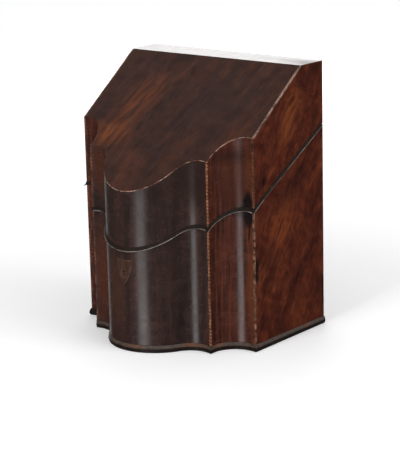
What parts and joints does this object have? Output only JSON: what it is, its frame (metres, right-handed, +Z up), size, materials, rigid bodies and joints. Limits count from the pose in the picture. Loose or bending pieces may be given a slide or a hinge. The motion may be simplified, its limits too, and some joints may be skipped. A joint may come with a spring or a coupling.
{
  "type": "document box",
  "caption": "Serpentine-fronted veneered wooden document box with a hinged slope lid, letter dividers and a box lock.",
  "frame": {"origin": "on the table under the middle of the whole box, mouldings and hinge barrels included", "axes": "+X to the right seen from the front, +Y to the back, +Z up; the serpentine front faces -Y"},
  "size_m": [0.234, 0.198, 0.2865],
  "materials": {
    "mahogany": "waxed old polish",
    "secondary_wood": "dull stained",
    "interior_mahogany": "satin",
    "ebonised_wood": "worn black polish",
    "boxwood_stringing": "polished",
    "shield_wood": "waxed",
    "brass": "aged",
    "iron": "dull"
  },
  "bodies": {
    "case": {"base_board": "secondary_wood", "base_moulding_bow": "ebonised_wood", "base_moulding_left_cove": "ebonised_wood", "base_moulding_left_side": "ebonised_wood", "base_moulding_right_cove": "ebonised_wood", "base_moulding_right_side": "ebonised_wood", "base_nails": "iron", "case_back": "secondary_wood", "case_bow_front": "mahogany", "case_left_arris_stringing": "boxwood_stringing", "case_left_corner_stringing": "boxwood_stringing", "case_left_cove": "mahogany", "case_left_side": "mahogany", "case_right_arris_stringing": "boxwood_stringing", "case_right_corner_stringing": "boxwood_stringing", "case_right_cove": "mahogany", "case_right_side": "mahogany", "front_letter_divider": "interior_mahogany", "hinge_case_screws": "brass", "keyhole_shield": "shield_wood", "left_divider_runner": "interior_mahogany", "left_hinge_case_leaf": "brass", "left_hinge_pin": "brass", "lock_case": "brass", "lock_screws": "brass", "middle_letter_divider": "interior_mahogany", "rear_letter_divider": "interior_mahogany", "right_divider_runner": "interior_mahogany", "right_hinge_case_leaf": "brass", "right_hinge_pin": "brass"},
    "lid": {"hinge_lid_screws": "brass", "left_hinge_lid_leaf": "brass", "lid_back": "secondary_wood", "lid_bow_front": "mahogany", "lid_left_arris_stringing": "boxwood_stringing", "lid_left_corner_stringing": "boxwood_stringing", "lid_left_cove": "mahogany", "lid_left_side": "mahogany", "lid_left_slope_stringing": "boxwood_stringing", "lid_moulding_bow": "ebonised_wood", "lid_moulding_left_cove": "ebonised_wood", "lid_moulding_left_side": "ebonised_wood", "lid_moulding_right_cove": "ebonised_wood", "lid_moulding_right_side": "ebonised_wood", "lid_right_arris_stringing": "boxwood_stringing", "lid_right_corner_stringing": "boxwood_stringing", "lid_right_cove": "mahogany", "lid_right_side": "mahogany", "lid_right_slope_stringing": "boxwood_stringing", "lid_slope_panel": "mahogany", "lid_top_board": "mahogany", "lock_link_plate": "brass", "lock_link_screws": "brass", "right_hinge_lid_leaf": "brass"},
    "lock_bolt": {"lock_bolt": "iron"}
  },
  "joints": [
    {"name": "lid_hinge", "type": "hinge", "parent": "case", "child": "lid", "pos_m": [0, 0.097, 0.21681], "axis": [-1, 0, 0], "range_deg": [0, 105]},
    {"name": "lock_bolt_slide", "type": "slide", "parent": "case", "child": "lock_bolt", "axis": [1, 0, 0], "range_m": [0, 0.0045]}
  ]
}
